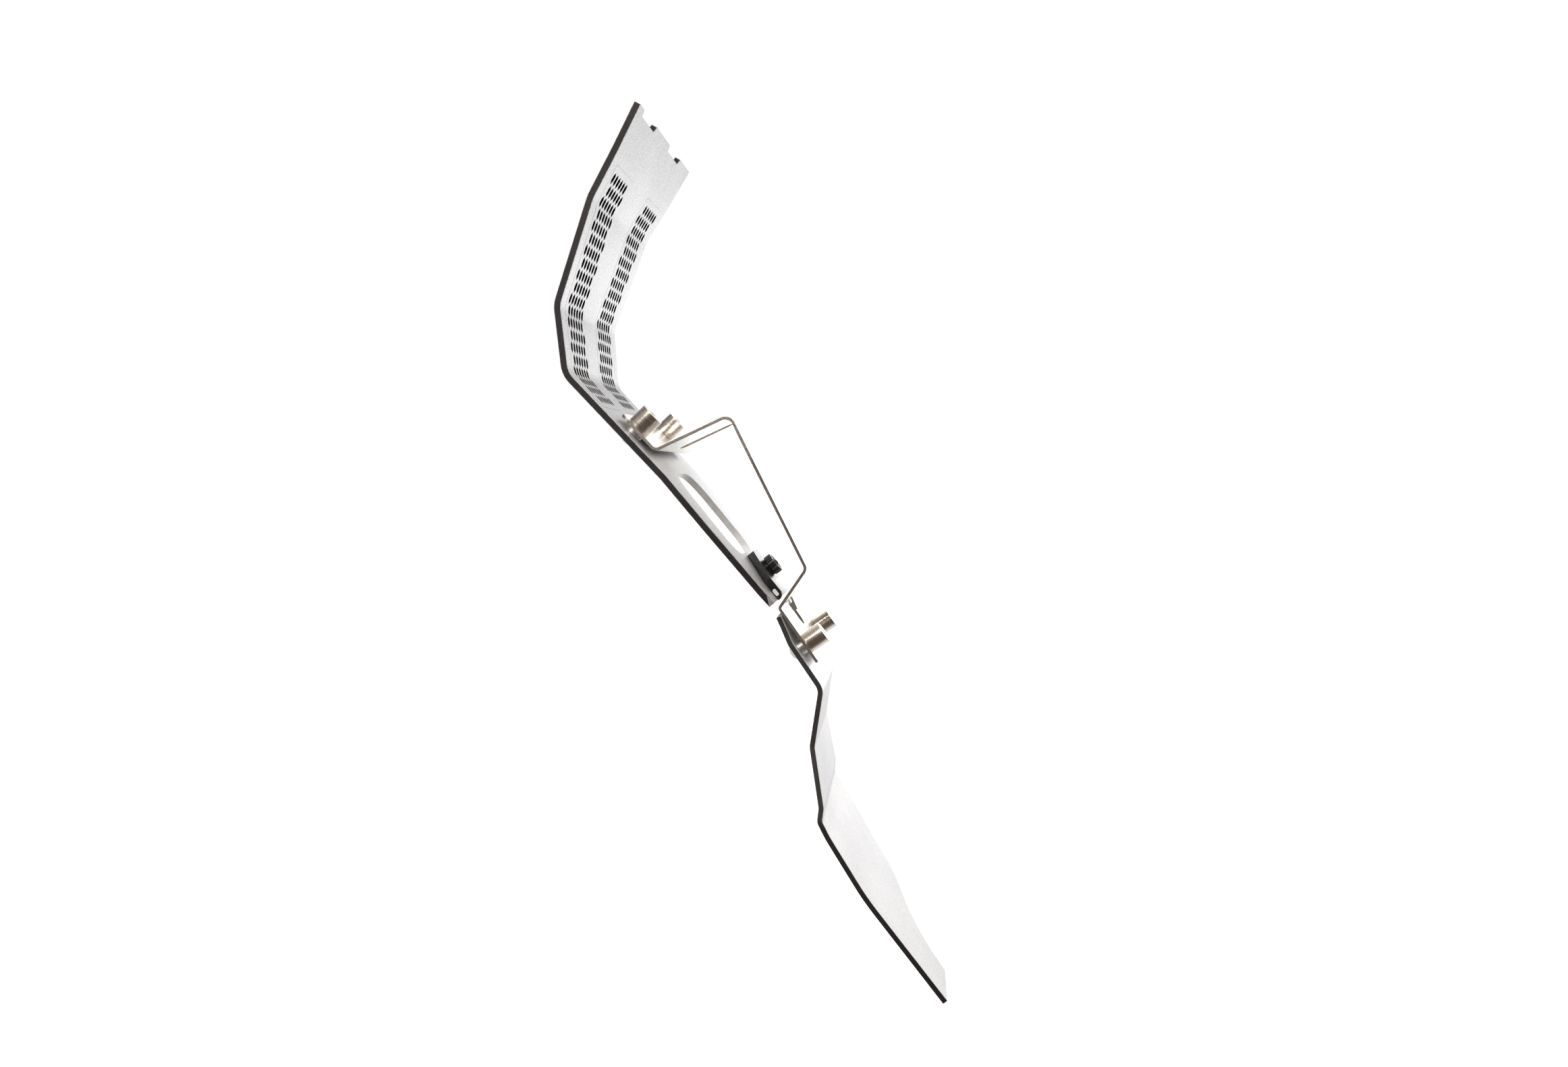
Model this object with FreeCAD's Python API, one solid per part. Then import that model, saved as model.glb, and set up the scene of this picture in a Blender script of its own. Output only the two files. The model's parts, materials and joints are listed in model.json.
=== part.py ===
import FreeCAD, Part
import math
import os

V = FreeCAD.Vector

# Frame: X towards the spring side, Y across the width, Z up, all in millimetres.
# The origin is the middle of the cuff face, on the inner side of the shell's top facet.

# ---------------------------------------------------------------- driving dimensions
SHELL_T = 3.8
CUFF_FACET_HALF = 13.3
CUFF_FACET_LEAN = 60.2
SHELL_CORNERS = [(-22.4, -34.1), (-42.9, -90.8), (-39.7, -127.9), (13.1, -184.6), (71.3, -255.7)]
SHELL_BENDS = [60.0, 30.0, 16.0, 14.0, 60.0]
SHELL_HALF_WIDTHS = [(76.5, 16.0), (70.0, -30.0), (65.0, -91.0), (59.0, -159.0), (54.0, -212.0),
                     (47.0, -250.0)]
SHELL_END_CHAMFER = 6.0

CROWN_NOTCH_DEPTH = 3.0
CROWN_NOTCHES = [(-48.0, 36.0), (26.0, 36.0)]
CROWN_NOTCH_FLANK = 2.5

VENT_START = 32.0
VENT_END = 177.0
VENT_INSET = 10.0
VENT_WIDTH = 41.0
VENT_POCKET_DEPTH = 1.9
VENT_LEDGE = 2.5
PANEL_T = 1.4
MESH_T = 0.5
SLOT_LONG = 7.0
SLOT_WIDE = 3.8
SLOT_POINT = 2.0
SLOT_ROW_PITCH = 6.9
SLOT_COLUMN_PITCH = 5.6
SLOT_ROWS = 20
SLOT_COLUMNS = 6

WINDOW_START = 227.0
WINDOW_END = 287.0
WINDOW_HALF_WIDTH = 29.0
WINDOW_TOP_R = 18.0
WINDOW_BOTTOM_R = 13.0

UPPER_SPACER_T = 2.8
UPPER_SPACER_R = 5.6
LOWER_SPACER_T = 3.8
LOWER_SPACER_R = 4.2
BAND_T = 1.7
BAND_HALF_WIDTH = 46.5
BAND_LOW_HALF_WIDTH = 43.5
BAND_TAPER_Z = (-175.0, -235.0)
BAND_CORNER = (48.5, -150.4)
BAND_KNEE = (90.4, -235.6)
BAND_CLAMP_UP = 11.0
BAND_CLAMP_DOWN = 16.5
BAND_VERTEX_UP = 19.8
BAND_RUN_END = 17.0
BAND_BENDS = [3.5, 5.0, 4.0, 1.7]
BAND_END_R = 5.0
BAND_ARM_SLOT = (6.0, -4.0)
BAND_LOW_SLOT = (-11.0, 17.0)
BAND_SLOT_HALF_WIDTH = 6.2
BAND_HOLE_R = 1.3
BAND_HOLE_Y = 28.0

UPPER_SCREW_AT = 45.6
UPPER_SCREW_Y = 39.0
UPPER_NUT_R = 6.95
UPPER_NUT_H = 11.4
UPPER_HEAD_R = 5.6
UPPER_HEAD_H = 3.2

FOOT_T = 3.0
FOOT_PATH = [(75.0, -262.0), (81.7, -277.2), (98.8, -301.6), (94.1, -332.8), (99.5, -364.6),
             (98.7, -371.8), (103.0, -380.4), (123.3, -413.4), (166.6, -468.9)]
FOOT_BENDS = [12.0, 8.0, 9.0, 5.0, 5.0, 60.0, 160.0]
FOOT_TOP_HALF_WIDTH = 45.0
FOOT_SHOULDER_Z = -268.0
FOOT_NECK = (53.5, -333.0)
FOOT_BALL = (63.0, -372.0)
FOOT_FAR_EDGE = [(63.0, -372.0), (60.0, -404.0), (47.0, -424.0), (15.0, -438.5),
                 (-6.0, -449.0), (-19.5, -470.0)]

LOWER_SCREW_AT = 5.3
LOWER_SCREW_Y = 37.5
LOWER_NUT_R = 6.1
LOWER_NUT_H = 11.4
LOWER_HEAD_R = 5.4
LOWER_HEAD_H = 2.8

SCREW_R = 2.5
NUT_CAP = 3.0
NUT_CHAMFER = 0.4
TIP_GAP = 0.2
SCREW_HOLE_GAP = 0.2
SCREW_TIP = 0.9

STOP_BAR_START = 61.0
STOP_BAR_END = 92.5
STOP_NARROW_Y = -8.0
STOP_WIDE_Y = -25.0
STOP_FAR_Y = 9.0
STOP_FLARE = 18.0
STOP_BODY = 21.0
STOP_FINGER_WIDTH = 4.0
STOP_FINGER_ROOT = 2.5
STOP_BAR_T = 4.5
STOP_NOSE_R = 4.2
STOP_EYE_R = 1.05
STOP_EYE_LONG = 4.6
STOP_EYE_AT = (4.6, 1.6)
STOP_SCREW_AT = 74.0
STOP_TRAVEL = 4.0
STOP_SCREW_R = 2.4
STOP_WASHER_R = 5.4
STOP_WASHER_T = 0.8
STOP_NUT_R = 6.2
STOP_NUT_H = 4.6
STOP_NUT_FLUTES = 16
STOP_FLUTE_R = 0.55
STOP_HEAD_R = 5.2
STOP_HEAD_H = 2.2
RUNNING_GAP = 0.05
SLIDE_GAP = 0.1

LUG_T = 2.4
LUG_FLANGE_T = 1.2
LUG_FLANGE_END = 5.5
LUG_EAR = (-5.9, 3.0)
LUG_HEIGHT = 4.9
LUG_CORNER_R = 2.0
LUG_EYE_AT = (-3.4, 2.4)
LUG_EYE_R = 1.0
LUG_EYE_LONG = 3.2


# ---------------------------------------------------------------- geometry helpers
def add(a, b, k=1.0):
    """Point a moved k times along b, in the XZ plane."""
    return (a[0] + k * b[0], a[1] + k * b[1])


def unit(a, b):
    """Unit direction from a to b in the XZ plane."""
    length = math.hypot(b[0] - a[0], b[1] - a[1])
    return ((b[0] - a[0]) / length, (b[1] - a[1]) / length)


def left_normal(d):
    """The direction d turned a quarter turn anticlockwise, seen with X right and Z up."""
    return (-d[1], d[0])


class BentPath:
    """The middle line of a bent strip: straight runs joined by tangent arcs."""

    def __init__(self, points, bends):
        self.pieces = []
        self.lengths = []
        last = points[0]
        for i, radius in enumerate(bends):
            corner = points[i + 1]
            before = unit(points[i], corner)
            after = unit(corner, points[i + 2])
            cross = before[0] * after[1] - before[1] * after[0]
            turn = math.asin(max(-1.0, min(1.0, cross)))
            if before[0] * after[0] + before[1] * after[1] < 0:
                turn = math.copysign(math.pi, turn) - turn
            back = radius * math.tan(abs(turn) / 2)
            start = add(corner, before, -back)
            side = math.copysign(1.0, turn)
            centre = add(start, left_normal(before), side * radius)
            self.pieces.append(("line", last, before))
            self.lengths.append(math.hypot(start[0] - last[0], start[1] - last[1]))
            self.pieces.append(("arc", centre, (before, turn, radius)))
            self.lengths.append(radius * abs(turn))
            last = add(corner, after, back)
        self.pieces.append(("line", last, unit(last, points[-1])))
        self.lengths.append(math.hypot(points[-1][0] - last[0], points[-1][1] - last[1]))
        self.length = sum(self.lengths)

    def frame(self, s):
        """Point and direction at the distance s along the path."""
        for piece, length in zip(self.pieces, self.lengths):
            if s <= length or piece is self.pieces[-1]:
                break
            s -= length
        kind, base, data = piece
        if kind == "line":
            return add(base, data, s), data
        before, turn, radius = data
        angle = math.copysign(s / radius, turn)
        d = (before[0] * math.cos(angle) - before[1] * math.sin(angle),
             before[0] * math.sin(angle) + before[1] * math.cos(angle))
        return add(base, left_normal(d), -math.copysign(radius, turn)), d

    def point(self, s, offset):
        """Point at the distance s, moved sideways by offset towards the left normal."""
        p, d = self.frame(s)
        return add(p, left_normal(d), offset)

    def stops(self, s0, s1):
        """Spans between s0 and s1 that are each one line or one arc."""
        marks = [s0]
        run = 0.0
        for length in self.lengths:
            run += length
            if s0 + 0.01 < run < s1 - 0.01:
                marks.append(run)
        marks.append(s1)
        return list(zip(marks, marks[1:]))


def edge_between(path, s0, s1, offset, y):
    """One line or arc edge beside the path."""
    a = path.point(s0, offset)
    m = path.point((s0 + s1) / 2, offset)
    b = path.point(s1, offset)
    bulge = abs((b[0] - a[0]) * (m[1] - a[1]) - (b[1] - a[1]) * (m[0] - a[0]))
    if bulge < 1e-5:
        return Part.LineSegment(V(a[0], y, a[1]), V(b[0], y, b[1])).toShape()
    return Part.Arc(V(a[0], y, a[1]), V(m[0], y, m[1]), V(b[0], y, b[1])).toShape()


def strip(path, s0, s1, low, high, y0, y1):
    """A bent strip between two distances, two offsets and two widths."""
    edges = [edge_between(path, a, b, low, y0) for a, b in path.stops(s0, s1)]
    edges += [edge_between(path, b, a, high, y0) for a, b in reversed(path.stops(s0, s1))]
    for s in (s0, s1):
        a = path.point(s, low)
        b = path.point(s, high)
        edges.append(Part.LineSegment(V(a[0], y0, a[1]), V(b[0], y0, b[1])).toShape())
    wire = Part.Wire(Part.__sortEdges__(edges))
    return Part.Face(wire).extrude(V(0, y1 - y0, 0))


def round_ends(solid, path, s_list, radius):
    """Round the edges of a strip that stand along its thickness at the given ends."""
    chosen = []
    for edge in solid.Edges:
        a = edge.Vertexes[0].Point
        b = edge.Vertexes[-1].Point
        if abs(a.y - b.y) > 1e-4:
            continue
        for s in s_list:
            p, d = path.frame(s)
            across = [abs((q.x - p[0]) * d[0] + (q.z - p[1]) * d[1]) for q in (a, b)]
            if max(across) < 1e-3:
                chosen.append(edge)
    return solid.makeFillet(radius, chosen)


def prism_along(path, s, y, outline, low, high):
    """A straight prism through a strip: outline points are (along the path, along Y)."""
    p, d = path.frame(s)
    n = left_normal(d)
    base = V(p[0] + n[0] * low, y, p[1] + n[1] * low)
    points = [base + V(d[0] * u, v, d[1] * u) for u, v in outline]
    face = Part.Face(Part.makePolygon(points + points[:1]))
    return face.extrude(V(n[0], 0, n[1]) * (high - low))


def pin_along(path, s, y, radius, low, high):
    """A round pin that stands across a strip."""
    p, d = path.frame(s)
    n = left_normal(d)
    base = V(p[0] + n[0] * low, y, p[1] + n[1] * low)
    return Part.makeCylinder(radius, high - low, base, V(n[0], 0, n[1]))


def domed_pin(path, s, y, head, shank):
    """A turned screw across a strip, with a domed head and a domed or flat tip.

    head is (radius, face offset, height), shank is (radius, tip offset, tip dome height).
    """
    p, d = path.frame(s)
    n = left_normal(d)

    def place(radius, offset):
        return V(p[0] + n[0] * offset + d[0] * radius, y, p[1] + n[1] * offset + d[1] * radius)

    head_r, face, head_h = head
    shank_r, tip, tip_h = shank
    edges = [dome_edge(place, head_r, face, -head_h),
             Part.LineSegment(place(head_r, face), place(shank_r, face)).toShape(),
             Part.LineSegment(place(shank_r, face), place(shank_r, tip)).toShape()]
    if tip_h:
        edges.append(dome_edge(place, shank_r, tip, tip_h))
    else:
        edges.append(Part.LineSegment(place(shank_r, tip), place(0, tip)).toShape())
    edges.append(Part.LineSegment(place(0, tip + tip_h), place(0, face - head_h)).toShape())
    face = Part.Face(Part.Wire(Part.__sortEdges__(edges)))
    return Part.Solid(face.revolve(place(0, 0), V(n[0], 0, n[1]), 360))


def dome_edge(place, radius, offset, height):
    """The arc from a dome's rim to its crown, in the plane of a turned profile."""
    ball_r = (radius * radius + height * height) / (2 * abs(height))
    side = math.copysign(1.0, height)
    centre = offset + height - side * ball_r
    half = math.asin(radius / ball_r) / 2
    middle = place(ball_r * math.sin(half), centre + side * ball_r * math.cos(half))
    return Part.Arc(place(radius, offset), middle, place(0, offset + height)).toShape()


def width_prism(outline):
    """A prism along X from an outline in the YZ plane."""
    reach = 400.0
    points = [V(-reach / 2, y, z) for y, z in outline]
    return Part.Face(Part.makePolygon(points + points[:1])).extrude(V(reach, 0, 0))


def mirrored_outline(half):
    """Close an outline given as (half width, z) pairs from top to bottom."""
    return [(w, z) for w, z in half] + [(-w, z) for w, z in reversed(half)]


# ---------------------------------------------------------------- paths
def shell_points():
    """The shell's middle line: the top facet through the cuff face, then the corners."""
    lean = math.radians(CUFF_FACET_LEAN)
    down = (-math.cos(lean), -math.sin(lean))
    middle = add((0.0, 0.0), left_normal(down), -SHELL_T / 2)
    facet = [add(middle, down, -CUFF_FACET_HALF), add(middle, down, CUFF_FACET_HALF)]
    return facet + SHELL_CORNERS


SHELL_PATH = shell_points()
SHELL = BentPath(SHELL_PATH, SHELL_BENDS)
FOOT = BentPath(FOOT_PATH, FOOT_BENDS)
SHELL_IN = SHELL_T / 2
FOOT_IN = FOOT_T / 2


def spring_points():
    """The spring's corners: clamp end, clamp bend, top corner, knee, vertex, run end."""
    slope = unit(SHELL_PATH[4], SHELL_PATH[5])
    lift = SHELL_IN + UPPER_SPACER_T + BAND_T / 2
    on_screw = add(add(SHELL_PATH[4], slope, UPPER_SCREW_AT), left_normal(slope), lift)
    shin = unit(FOOT_PATH[1], FOOT_PATH[2])
    foot_lift = FOOT_IN + LOWER_SPACER_T + BAND_T / 2
    run = add(FOOT_PATH[1], left_normal(shin), foot_lift)
    clamp_top = add(on_screw, slope, -BAND_CLAMP_UP)
    clamp_bend = add(on_screw, slope, BAND_CLAMP_DOWN)
    vertex = add(run, shin, -BAND_VERTEX_UP)
    return [clamp_top, clamp_bend, BAND_CORNER, BAND_KNEE, vertex, add(run, shin, BAND_RUN_END)]


BAND = BentPath(spring_points(), BAND_BENDS)


def path_distance(path, target):
    """Distance along a path to the place nearest to a point."""
    steps = 4000
    best = min(range(steps + 1), key=lambda i: math.dist(path.point(path.length * i / steps, 0),
                                                         target))
    return path.length * best / steps


def on_shell(distance, corner):
    """Distance along the shell of a place measured from one of its corners."""
    d = unit(SHELL_PATH[corner], SHELL_PATH[corner + 1])
    return path_distance(SHELL, add(SHELL_PATH[corner], d, distance))


UPPER_SCREW_S = on_shell(UPPER_SCREW_AT, 4)
STOP_START_S = on_shell(STOP_BAR_START, 5)
STOP_SCREW_S = on_shell(STOP_SCREW_AT, 5)
SHIN = unit(FOOT_PATH[1], FOOT_PATH[2])
LOWER_SCREW_S = path_distance(FOOT, add(FOOT_PATH[1], SHIN, LOWER_SCREW_AT))
ANKLE = BAND.point(path_distance(BAND, spring_points()[4]), 0)


# ---------------------------------------------------------------- shell
def crown_notch(y_middle, width):
    """One trapezoid notch in the shell's top edge."""
    top = width / 2
    bottom = top - CROWN_NOTCH_FLANK
    outline = [(-5.0, -top - 2), (CROWN_NOTCH_DEPTH, -bottom), (CROWN_NOTCH_DEPTH, bottom),
               (-5.0, top + 2)]
    return prism_along(SHELL, 0.5, y_middle, outline, -SHELL_T, SHELL_T)


def half_width(z):
    """Half of the shell's width at a height inside its outline."""
    for (w0, z0), (w1, z1) in zip(SHELL_HALF_WIDTHS, SHELL_HALF_WIDTHS[1:]):
        if z >= z1:
            break
    return w0 + (w1 - w0) * (z - z0) / (z1 - z0)


def vent_field(side, low, high, grow=0.0):
    """A strip in one vent field, beside the shell's edge; side is -1 or 1."""
    inset = VENT_INSET - grow
    width = VENT_WIDTH + 2 * grow
    outer = [(side * (w - inset), z) for w, z in SHELL_HALF_WIDTHS]
    inner = [(side * (w - inset - width), z) for w, z in reversed(SHELL_HALF_WIDTHS)]
    solid = strip(SHELL, VENT_START - grow, VENT_END + grow, low, high, -80, 80)
    return solid.common(width_prism(outer + inner))


def stop_slot():
    """The long slot that the stop's screw slides in."""
    half = SCREW_R
    body = prism_along(SHELL, STOP_SCREW_S, 0, [(-STOP_TRAVEL, -half), (0, -half), (0, half),
                                                (-STOP_TRAVEL, half)], -SHELL_T, SHELL_T)
    for at in (-STOP_TRAVEL, 0.0):
        body = body.fuse(pin_along(SHELL, STOP_SCREW_S + at, 0, half, -SHELL_T, SHELL_T))
    return body.removeSplitter()


def calf_shell():
    """The bent plate that lies along the calf."""
    body = strip(SHELL, 0, SHELL.length, -SHELL_IN, SHELL_IN, -80, 80)
    tail = SHELL_HALF_WIDTHS[-1][0] - SHELL_END_CHAMFER
    body = body.common(width_prism(mirrored_outline(SHELL_HALF_WIDTHS + [(tail, -262.0)])))
    window = strip(SHELL, WINDOW_START, WINDOW_END, -SHELL_T, SHELL_T,
                   -WINDOW_HALF_WIDTH, WINDOW_HALF_WIDTH)
    window = round_ends(window, SHELL, (WINDOW_START,), WINDOW_TOP_R)
    body = body.cut(round_ends(window, SHELL, (WINDOW_END,), WINDOW_BOTTOM_R))
    for y_middle, width in CROWN_NOTCHES:
        body = body.cut(crown_notch(y_middle, width))
    for side in (-1, 1):
        body = body.cut(vent_field(side, SHELL_IN - VENT_POCKET_DEPTH, SHELL_T))
        body = body.cut(vent_field(side, -SHELL_T, SHELL_IN, -VENT_LEDGE))
        body = body.cut(pin_along(SHELL, UPPER_SCREW_S, side * UPPER_SCREW_Y,
                                  SCREW_R, -SHELL_T, SHELL_T))
    return body.cut(stop_slot())


def slot_outline():
    """The pointed long slot of the vent pattern."""
    long = SLOT_LONG / 2
    wide = SLOT_WIDE / 2
    shoulder = long - SLOT_POINT
    return [(-long, 0), (-shoulder, -wide), (shoulder, -wide), (long, 0), (shoulder, wide),
            (-shoulder, wide)]


def vent_panel(side):
    """The perforated insert of one vent field."""
    low = SHELL_IN - PANEL_T
    first_row = (VENT_START + VENT_END - (SLOT_ROWS - 1) * SLOT_ROW_PITCH) / 2
    field = (SLOT_COLUMNS - 0.5) * SLOT_COLUMN_PITCH
    tools = []
    for row in range(SLOT_ROWS):
        s = first_row + row * SLOT_ROW_PITCH
        outer = half_width(SHELL.point(s, 0)[1]) - VENT_INSET - (VENT_WIDTH - field) / 2
        shift = 0.5 * (row % 2) * SLOT_COLUMN_PITCH
        for column in range(SLOT_COLUMNS):
            y = side * (outer - shift - column * SLOT_COLUMN_PITCH)
            tools.append(prism_along(SHELL, s, y, slot_outline(), low - 1, SHELL_IN + 1))
    return vent_field(side, low, SHELL_IN).cut(Part.makeCompound(tools))


def vent_mesh(side):
    """The dark mesh behind one perforated insert."""
    top = SHELL_IN - PANEL_T
    return vent_field(side, top - MESH_T, top)


# ---------------------------------------------------------------- spring
def band_slot(s0, s1):
    """A centre slot in the spring between two distances."""
    w = BAND_SLOT_HALF_WIDTH
    solid = strip(BAND, s0, s1, -BAND_T, BAND_T, -w, w)
    return round_ends(solid, BAND, (s0, s1), w - 0.4)


def leaf_spring():
    """The one-piece spring strip: clamp, arm, long leaf, arm and lower run."""
    body = strip(BAND, 0, BAND.length, -BAND_T / 2, BAND_T / 2, -BAND_HALF_WIDTH, BAND_HALF_WIDTH)
    body = round_ends(body, BAND, (0, BAND.length), BAND_END_R)
    high, low = BAND_TAPER_Z
    outline = [(BAND_HALF_WIDTH + 1, -100.0), (BAND_HALF_WIDTH + 0.01, high),
               (BAND_LOW_HALF_WIDTH, low), (BAND_LOW_HALF_WIDTH, -330.0)]
    body = body.common(width_prism(mirrored_outline(outline)))
    corners = [path_distance(BAND, point) for point in spring_points()]
    start, end = BAND_ARM_SLOT
    body = body.cut(band_slot(corners[1] + start, corners[2] + end))
    start, end = BAND_LOW_SLOT
    body = body.cut(band_slot(corners[4] + start, corners[4] + end))
    middle = (corners[2] + corners[3]) / 2 + 15
    body = body.cut(pin_along(BAND, middle, BAND_HOLE_Y, BAND_HOLE_R, -BAND_T, BAND_T))
    for side in (-1, 1):
        upper = pin_along(SHELL, UPPER_SCREW_S, side * UPPER_SCREW_Y,
                          SCREW_R + SCREW_HOLE_GAP, SHELL_IN, 12)
        lower = pin_along(FOOT, LOWER_SCREW_S, side * LOWER_SCREW_Y,
                          SCREW_R + SCREW_HOLE_GAP, FOOT_IN, 12)
        body = body.cut(upper).cut(lower)
    return body


# ---------------------------------------------------------------- clamps
def spacer(path, s, y, inner, size):
    """The round spacer between a plate and the spring; size is (radius, thickness)."""
    radius, thick = size
    ring = pin_along(path, s, y, radius, inner, inner + thick)
    return ring.cut(pin_along(path, s, y, SCREW_R, inner - 1, inner + thick + 1))


def barrel_nut(path, s, y, base, size):
    """The tall round nut that holds the spring down; size is (radius, height)."""
    radius, height = size
    body = pin_along(path, s, y, radius, base, base + height)
    rims = [e for e in body.Edges if isinstance(e.Curve, Part.Circle)]
    body = body.makeChamfer(NUT_CHAMFER, rims)
    return body.cut(pin_along(path, s, y, SCREW_R, base - 1, base + height - NUT_CAP))


def clamp_screw(path, s, y, inner, nut_top, head):
    """A dome-headed screw from the outer face into the barrel nut; head is (radius, height)."""
    radius, height = head
    tip = nut_top - NUT_CAP - TIP_GAP
    return domed_pin(path, s, y, (radius, -inner, height), (SCREW_R, tip, 0.0))


# ---------------------------------------------------------------- stop
def stop_bar():
    """The sliding stop: a flared plate with one rounded finger that has an eye across it."""
    low = SHELL_IN + SLIDE_GAP
    high = low + STOP_BAR_T
    reach = STOP_BAR_END - STOP_BAR_START
    inner = STOP_WIDE_Y + STOP_FINGER_WIDTH
    plan = [(0, STOP_NARROW_Y), (STOP_FLARE, STOP_WIDE_Y), (reach, STOP_WIDE_Y), (reach, inner),
            (STOP_BODY + STOP_FINGER_ROOT, inner), (STOP_BODY, inner + STOP_FINGER_ROOT),
            (STOP_BODY, STOP_FAR_Y), (0, STOP_FAR_Y)]
    bar = prism_along(SHELL, STOP_START_S, 0, plan, low, high)
    tip = SHELL.point(STOP_START_S + reach, high)
    nose = []
    for edge in bar.Edges:
        a = edge.Vertexes[0].Point
        b = edge.Vertexes[-1].Point
        if abs(a.y - b.y) > 1 and math.dist((a.x, a.z), tip) < 0.01:
            nose.append(edge)
    bar = bar.makeFillet(STOP_NOSE_R, nose)
    bar = bar.cut(pin_along(SHELL, STOP_SCREW_S, 0, STOP_SCREW_R, low - 1, high + 1))
    back, up = STOP_EYE_AT
    return bar.cut(eye(SHELL, STOP_START_S + reach - back, low + up, STOP_EYE_R, STOP_EYE_LONG,
                       abs(STOP_WIDE_Y) + 1))


def eye(path, s, offset, radius, length, reach):
    """An oval hole along Y whose long way follows the path."""
    p = path.point(s, offset)
    d = path.frame(s)[1]
    half = length / 2 - radius
    a = add(p, d, -half)
    b = add(p, d, half)
    n = left_normal(d)
    corners = [add(a, n, radius), add(b, n, radius), add(b, n, -radius), add(a, n, -radius)]
    points = [V(x, -reach, z) for x, z in corners]
    body = Part.Face(Part.makePolygon(points + points[:1])).extrude(V(0, 2 * reach, 0))
    for x, z in (a, b):
        body = body.fuse(Part.makeCylinder(radius, 2 * reach, V(x, -reach, z), V(0, 1, 0)))
    return body.removeSplitter()


def stop_screw():
    """The screw of the stop, its low dome head outside the shell."""
    low = -SHELL_IN - SLIDE_GAP
    top = SHELL_IN + SLIDE_GAP + STOP_BAR_T + STOP_WASHER_T + STOP_NUT_H
    return domed_pin(SHELL, STOP_SCREW_S, 0, (STOP_HEAD_R, low, STOP_HEAD_H),
                     (STOP_SCREW_R, top, SCREW_TIP))


def stop_washer():
    """The plain washer under the stop's nut."""
    low = SHELL_IN + SLIDE_GAP + STOP_BAR_T
    ring = pin_along(SHELL, STOP_SCREW_S, 0, STOP_WASHER_R, low, low + STOP_WASHER_T)
    return ring.cut(pin_along(SHELL, STOP_SCREW_S, 0, STOP_SCREW_R, low - 1, low + 2))


def stop_nut():
    """The low round nut that locks the stop, fluted for the fingers."""
    low = SHELL_IN + SLIDE_GAP + STOP_BAR_T + STOP_WASHER_T + RUNNING_GAP
    body = pin_along(SHELL, STOP_SCREW_S, 0, STOP_NUT_R, low, low + STOP_NUT_H)
    rims = [e for e in body.Edges if isinstance(e.Curve, Part.Circle)]
    body = body.makeChamfer(0.5, rims)
    bore = pin_along(SHELL, STOP_SCREW_S, 0, STOP_SCREW_R + RUNNING_GAP, low - 1,
                     low + STOP_NUT_H + 1)
    p, d = SHELL.frame(STOP_SCREW_S)
    n = left_normal(d)
    tools = [bore]
    for i in range(STOP_NUT_FLUTES):
        angle = 2 * math.pi * i / STOP_NUT_FLUTES
        along = STOP_NUT_R * math.cos(angle)
        across = STOP_NUT_R * math.sin(angle)
        base = V(p[0] + d[0] * along + n[0] * (low - 1), across,
                 p[1] + d[1] * along + n[1] * (low - 1))
        tools.append(Part.makeCylinder(STOP_FLUTE_R, STOP_NUT_H + 2, base, V(n[0], 0, n[1])))
    return body.cut(tools)


# ---------------------------------------------------------------- foot
def foot_outline():
    """The blade's outline across its width: straight near edge, curved far edge."""
    reach = V(-200, 0, 0)
    neck_w, neck_z = FOOT_NECK
    ball_w, ball_z = FOOT_BALL
    near = [(-ball_w, -470.0), (-ball_w, ball_z), (-neck_w, neck_z),
            (-FOOT_TOP_HALF_WIDTH, FOOT_SHOULDER_Z), (-FOOT_TOP_HALF_WIDTH, -255.0),
            (FOOT_TOP_HALF_WIDTH, -255.0), (FOOT_TOP_HALF_WIDTH, FOOT_SHOULDER_Z),
            (neck_w, neck_z),
            FOOT_FAR_EDGE[0]]
    edges = [Part.LineSegment(V(0, *a) + reach, V(0, *b) + reach).toShape()
             for a, b in zip(near, near[1:])]
    curve = Part.BSplineCurve()
    curve.interpolate([V(0, y, z) + reach for y, z in FOOT_FAR_EDGE])
    edges.append(curve.toShape())
    edges.append(Part.LineSegment(V(0, *FOOT_FAR_EDGE[-1]) + reach, V(0, *near[0]) + reach)
                 .toShape())
    return Part.Face(Part.Wire(edges)).extrude(V(600, 0, 0))


def foot_plate():
    """The S-bent lower plate that ends in the sole blade."""
    body = strip(FOOT, 0, FOOT.length, -FOOT_IN, FOOT_IN, -70, 70)
    body = body.common(foot_outline())
    for side in (-1, 1):
        body = body.cut(pin_along(FOOT, LOWER_SCREW_S, side * LOWER_SCREW_Y, SCREW_R,
                                  -FOOT_T, FOOT_T))
    return body


def tether_lug():
    """The small bracket with an oval eye at the top of the lower plate."""
    top, bottom = LUG_EAR
    w = BAND_SLOT_HALF_WIDTH - 1.0
    flange = strip(FOOT, 0, LUG_FLANGE_END, FOOT_IN, FOOT_IN + LUG_FLANGE_T, -w, w)
    ear = strip(FOOT, top, bottom, FOOT_IN, FOOT_IN + LUG_HEIGHT, -LUG_T / 2, LUG_T / 2)
    corner = FOOT.point(top, FOOT_IN + LUG_HEIGHT)
    rounded = []
    for edge in ear.Edges:
        a = edge.Vertexes[0].Point
        b = edge.Vertexes[-1].Point
        if abs(a.y - b.y) > 1 and math.dist((a.x, a.z), corner) < 0.01:
            rounded.append(edge)
    body = flange.fuse(ear.makeFillet(LUG_CORNER_R, rounded)).removeSplitter()
    at, up = LUG_EYE_AT
    return body.cut(eye(FOOT, at, FOOT_IN + up, LUG_EYE_R, LUG_EYE_LONG, w))


# ---------------------------------------------------------------- output
def clamp_set(path, s, y, inner, sizes):
    """Spacer, barrel nut and screw of one clamp; sizes is (spacer, nut, head)."""
    spacer_size, nut_size, head_size = sizes
    base = inner + spacer_size[1] + BAND_T
    return {"spacer": spacer(path, s, y, inner, spacer_size),
            "nut": barrel_nut(path, s, y, base, nut_size),
            "screw": clamp_screw(path, s, y, inner, base + nut_size[1], head_size)}


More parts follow.
